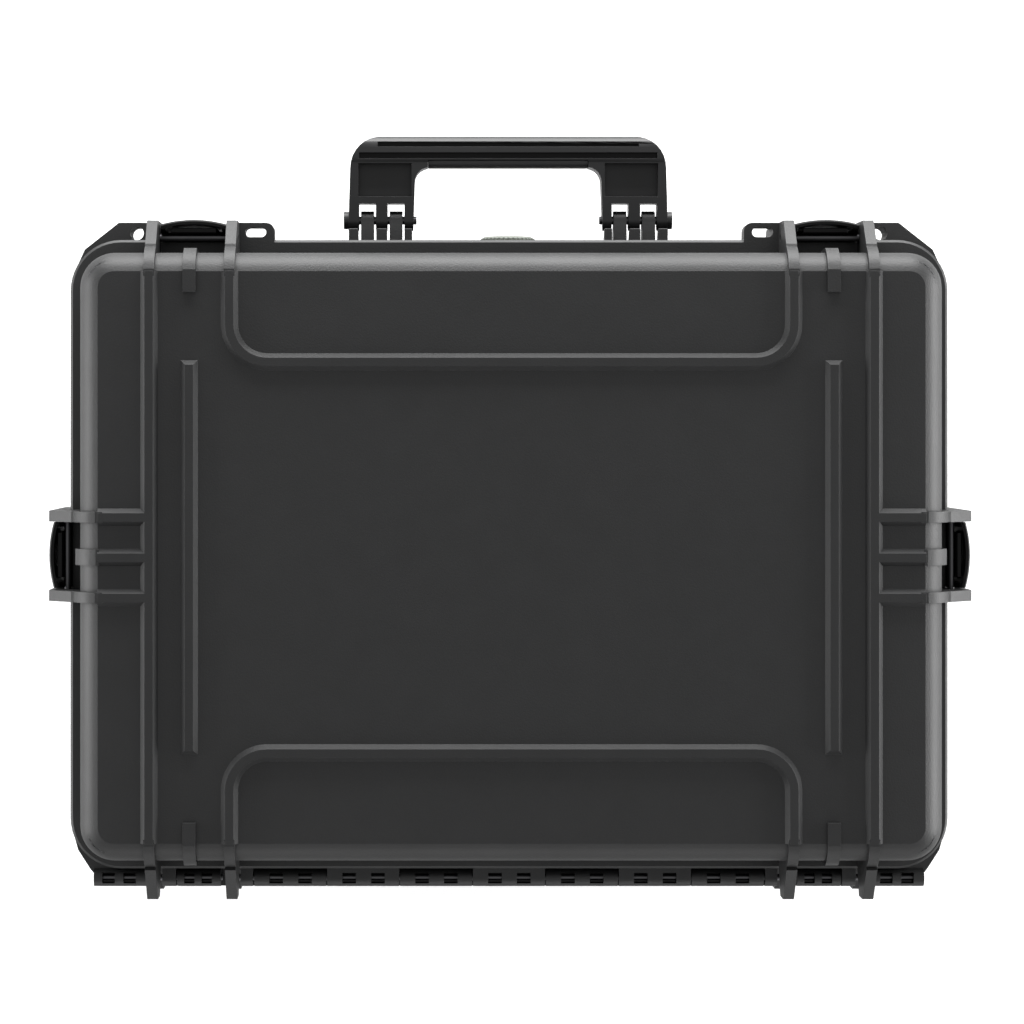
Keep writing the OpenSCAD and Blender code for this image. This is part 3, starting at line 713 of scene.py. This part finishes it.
@dataclass
class PressureValve:
    """The valve's knurled cap and its body."""

    bench: Workbench
    cap_radius: float = 0.25 * MM
    body_radius: float = 0.4 * MM
    sharper_than: float = 30.0

    def build(self) -> None:
        """Round the cap and the body."""
        cap = softened("valve_cap", "knurled_cap", self.cap_radius, sharper_than=self.sharper_than)
        self.bench.hand_over(cap, Slot.VALVE_CAP, "valve_cap", "valve_cap")
        body = softened("valve_body", "valve_neck", self.body_radius, sharper_than=self.sharper_than)
        self.bench.hand_over(body, Slot.VALVE, "base", "valve_body")


def rounded_place(x: float, y: float, half_w: float, half_d: float, corner: float) -> tuple[float, float]:
    """Pull a point of a rectangle into the rectangle with round corners.

    Args:
        x: Place along the width, from the middle.
        y: Place along the depth, from the middle.
        half_w: Half of the width.
        half_d: Half of the depth.
        corner: Corner radius.

    Returns:
        The new place.
    """
    out_x = max(0.0, abs(x) - (half_w - corner))
    out_y = max(0.0, abs(y) - (half_d - corner))
    if out_x == 0.0 or out_y == 0.0:
        return x, y
    pull = max(out_x, out_y) / math.hypot(out_x, out_y)
    return (
        math.copysign(half_w - corner + out_x * pull, x),
        math.copysign(half_d - corner + out_y * pull, y))


@dataclass
class EggCrateFoam:
    """The lid's convoluted pad: rows of soft peaks that face down into the case."""

    bench: Workbench
    inset: float = 1.5 * MM
    corner: float = 14 * MM
    pitch: float = 25.4 * MM
    valley_depth: float = 21 * MM
    peak_power: float = 1.25
    rim_width: float = 6 * MM
    rim_round: float = 3 * MM
    back_reach: float = 30 * MM
    steps: int = 8
    smooth_below: float = 50.0

    def build(self) -> None:
        """Model the pad from a grid that is shaped into peaks and closed at the back."""
        low, high = (Vector(corner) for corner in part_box("lid_foam"))
        size = high - low - Vector((2 * self.inset, 2 * self.inset, 0.0))
        middle = (low + high) / 2
        columns = round(size.x / self.pitch)
        rows = round(size.y / self.pitch)
        deselect()
        bpy.ops.mesh.primitive_grid_add(
            x_subdivisions=columns * self.steps, y_subdivisions=rows * self.steps, size=1.0, location=middle)
        pad = bpy.context.object
        pad.scale = (size.x, size.y, 1.0)
        pad.name = pad.data.name = "egg_crate_pad"
        settle(pad)
        for vertex in pad.data.vertices:
            x, y = vertex.co.x - middle.x, vertex.co.y - middle.y
            wave = math.cos(2 * math.pi * x / size.x * columns) * math.cos(2 * math.pi * y / size.y * rows)
            peak = (0.5 + 0.5 * wave) ** self.peak_power
            rim = min(1.0, (size.x / 2 - abs(x)) / self.rim_width, (size.y / 2 - abs(y)) / self.rim_width)
            x, y = rounded_place(x, y, size.x / 2, size.y / 2, self.corner)
            soft = self.rim_round * (1 - math.sqrt(max(0.0, 1 - (1 - rim) ** 2)))
            vertex.co = (middle.x + x, middle.y + y, low.z + self.valley_depth * (1 - peak) + soft)
        bpy.ops.object.mode_set(mode="EDIT")
        bpy.ops.mesh.select_all(action="SELECT")
        bpy.ops.mesh.region_to_loop()
        bpy.ops.mesh.extrude_region_move(TRANSFORM_OT_translate={"value": (0.0, 0.0, self.back_reach)})
        bpy.ops.mesh.edge_face_add()
        bpy.ops.object.mode_set(mode="OBJECT")
        for vertex in pad.data.vertices:
            if vertex.co.z > low.z + self.back_reach - MM:
                vertex.co.z = high.z
        bpy.ops.object.mode_set(mode="EDIT")
        bpy.ops.mesh.select_all(action="SELECT")
        bpy.ops.mesh.normals_make_consistent(inside=False)
        bpy.ops.object.mode_set(mode="OBJECT")
        smooth(pad, self.smooth_below)
        self.bench.hand_over(pad, Slot.LID_FOAM, "lid", "lid_foam")


def relax_foam(piece: bpy.types.Object, edge: float, step: float = 24 * MM) -> None:
    """Round a foam block's edges and let its faces sag a little, as use leaves them.

    Args:
        piece: The foam block.
        edge: Width of the rounding in metres.
        step: Distance between the cuts that let the faces sag.
    """
    sag = 0.4 * MM
    waves_x, waves_y = 61.0, 47.0
    shift_x, shift_y = 1.3, 0.4
    bevel(piece, edge, segments=4, sharper_than=40.0, harden=False)
    places = [vertex.co for vertex in piece.data.vertices]
    for axis in (Vector((1.0, 0.0, 0.0)), Vector((0.0, 1.0, 0.0))):
        first, last = (bound(place.dot(axis) for place in places) for bound in (min, max))
        for index in range(1, int((last - first) / step)):
            bpy.ops.object.mode_set(mode="EDIT")
            bpy.ops.mesh.select_all(action="SELECT")
            bpy.ops.mesh.bisect(plane_co=axis * (first + index * step), plane_no=axis)
            bpy.ops.object.mode_set(mode="OBJECT")
    for vertex in piece.data.vertices:
        place = vertex.co
        give = sag * (math.sin(place.x * waves_x + shift_x) * math.sin(place.y * waves_y + shift_y) - 1.0)
        vertex.co = place + vertex.normal * give
    smooth(piece, 45.0)


@dataclass
class BaseFoam:
    """The pad in the bottom, and the insert with its two pockets."""

    bench: Workbench
    pad_edge: float = 5 * MM
    insert_edge: float = 3.5 * MM
    corner: float = 16 * MM
    corner_segments: int = 6
    least_upright: float = 10 * MM
    shrink: float = 0.8 * MM
    cut_past: float = 40 * MM

    def round_corners(self, piece: bpy.types.Object) -> None:
        """Round the four upright edges of a block."""
        make_active(piece)
        bpy.ops.object.mode_set(mode="EDIT")
        bpy.ops.mesh.select_all(action="DESELECT")
        bpy.ops.object.mode_set(mode="OBJECT")
        for edge in piece.data.edges:
            first, second = (piece.data.vertices[index].co for index in edge.vertices)
            upright = (first.xy - second.xy).length < MM
            edge.select = upright and abs(first.z - second.z) > self.least_upright
        bpy.ops.object.mode_set(mode="EDIT")
        bpy.ops.mesh.select_mode(type="EDGE")
        bpy.ops.mesh.bevel(offset=self.corner, segments=self.corner_segments, affect="EDGES")
        bpy.ops.object.mode_set(mode="OBJECT")

    def pocket(self, name: str, insert: bpy.types.Object) -> None:
        """Cut an opening of the record out of the insert.

        Args:
            name: Name of the opening.
            insert: The foam insert.
        """
        for opening in frame["record"]["physics"]["openings"]:
            if opening["name"] == name:
                low, high = (Vector(corner) for corner in opening["box_m"])
                cut(insert, block(name, low, high + Vector((0.0, 0.0, self.cut_past))))

    def build(self) -> None:
        """Model the pad and the insert."""
        shrink = Vector((self.shrink, self.shrink, 0.0))
        low, high = (Vector(corner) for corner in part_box("base_foam_pad"))
        pad = block("bottom_pad", low + shrink, high - shrink)
        self.round_corners(pad)
        relax_foam(pad, self.pad_edge)
        self.bench.hand_over(pad, Slot.BASE_FOAM, "base", "base_foam_pad")
        low, high = (Vector(corner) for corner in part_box("base_foam_insert"))
        insert = block("pocket_insert", low + shrink, high - shrink)
        self.round_corners(insert)
        self.pocket("laptop_pocket", insert)
        self.pocket("accessory_pocket", insert)
        nut_low, nut_high = (Vector(corner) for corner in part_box("valve_nut"))
        room_below = Vector((4 * MM, 20 * MM, 4 * MM))
        room_above = Vector((4 * MM, 4 * MM, 60 * MM))
        cut(insert, block("valve_notch", nut_low - room_below, nut_high + room_above))
        relax_foam(insert, self.insert_edge)
        self.bench.hand_over(insert, Slot.BASE_FOAM, "base", "base_foam_insert")


@dataclass
class Lamp:
    """A rectangular studio lamp that is aimed at the case."""

    name: str
    place: tuple[float, float, float]
    size: tuple[float, float]
    radiance: float

    def build(self, target: Vector) -> None:
        """Add the lamp, with a power that gives its radiance.

        Args:
            target: Point that the lamp is aimed at.
        """
        data = bpy.data.lights.new(self.name, "AREA")
        data.shape = "RECTANGLE"
        data.size, data.size_y = self.size
        data.energy = self.radiance * math.pi * self.size[0] * self.size[1]
        lamp = bpy.data.objects.new(self.name, data)
        aim = (target - Vector(self.place)).to_track_quat("-Z", "Y")
        lamp.matrix_world = Matrix.Translation(self.place) @ aim.to_matrix().to_4x4()
        bpy.context.scene.collection.objects.link(lamp)


@dataclass
class Studio:
    """Floor, world, lamps and the camera that looks straight down."""

    lamps: tuple[Lamp, ...] = (
        Lamp("lamp_handle_side", (0.0, -1.25, 0.34), (1.5, 0.6), 22.0),
        Lamp("lamp_left", (1.35, 0.0, 0.31), (1.25, 0.5), 13.5),
        Lamp("lamp_right", (-1.35, 0.0, 0.31), (1.25, 0.5), 19.0),
        Lamp("lamp_hinge_side", (0.0, 1.35, 0.46), (1.6, 0.5), 3.0),
    )
    camera_place: tuple[float, float, float] = (0.0581, -0.0510, 2.207)
    lens: float = 118.07
    shift: tuple[float, float] = (0.0957, -0.0801)
    aim: tuple[float, float, float] = (0.0, 0.0, 0.12)
    ambient: float = 0.25
    floor_size: float = 8.0
    floor_lift: float = 0.45

    def light_world(self) -> None:
        """Give the world a plain grey for lighting, and white where it is seen or mirrored."""
        world = bpy.data.worlds.new("studio_world")
        bpy.context.scene.world = world
        world.use_nodes = True
        tree = world.node_tree
        rays = tree.nodes.new("ShaderNodeLightPath")
        seen = maths(tree, "MAXIMUM", rays.outputs["Is Camera Ray"], rays.outputs["Is Glossy Ray"])
        seen = maths(tree, "MAXIMUM", seen, rays.outputs["Is Transmission Ray"])
        strength = maths(tree, "ADD", maths(tree, "MULTIPLY", seen, 1.0 - self.ambient), self.ambient)
        tree.nodes["Background"].inputs["Color"].default_value = (1.0, 1.0, 1.0, 1.0)
        tree.links.new(strength, tree.nodes["Background"].inputs["Strength"])

    def lay_floor(self) -> None:
        """Lay a pale floor under the case."""
        deselect()
        bpy.ops.mesh.primitive_grid_add(x_subdivisions=8, y_subdivisions=8, size=self.floor_size)
        floor = bpy.context.object
        floor.name = floor.data.name = "studio_floor"
        material, tree, shader, vector = start_material("pale_floor")
        blend_colours(
            tree, noise(tree, vector, 3.0, 2.0), (0.80, 0.80, 0.80), (0.84, 0.84, 0.84),
            shader.inputs["Base Color"])
        shader.inputs["Roughness"].default_value = 0.9
        shader.inputs["Specular IOR Level"].default_value = 0.1
        shader.inputs["Emission Color"].default_value = (1.0, 1.0, 1.0, 1.0)
        rays = tree.nodes.new("ShaderNodeLightPath")
        tree.links.new(
            maths(tree, "MULTIPLY", rays.outputs["Is Camera Ray"], self.floor_lift),
            shader.inputs["Emission Strength"])
        floor.data.materials.append(material)

    def place_camera(self) -> None:
        """Set the camera at the photograph's viewing angle."""
        data = bpy.data.cameras.new("studio_camera")
        data.sensor_width = 36.0
        data.lens = self.lens
        data.shift_x, data.shift_y = self.shift
        data.clip_end = 50.0
        camera = bpy.data.objects.new("studio_camera", data)
        camera.location = self.camera_place
        camera.rotation_euler = (0.0, 0.0, math.pi)
        bpy.context.scene.collection.objects.link(camera)
        bpy.context.scene.camera = camera

    def build(self) -> None:
        """Set the studio up."""
        self.place_camera()
        self.light_world()
        self.lay_floor()
        for lamp in self.lamps:
            lamp.build(Vector(self.aim))
        bpy.context.scene.view_settings.view_transform = "Standard"


def main() -> None:
    """Build the case in order."""
    logging.basicConfig(level=logging.INFO, format="%(asctime)s %(name)s: %(message)s")
    Studio().build()
    bench = Workbench()
    bench.mix_finishes()
    bench.dress_nodes()
    Shells(bench).build()
    for place in Place:
        Latch(bench, place).build()
    HingeLedge(bench).build()
    PostRoots(bench).build()
    CarryHandle(bench).build()
    PressureValve(bench).build()
    EggCrateFoam(bench).build()
    BaseFoam(bench).build()


if __name__ == "__main__":
    main()
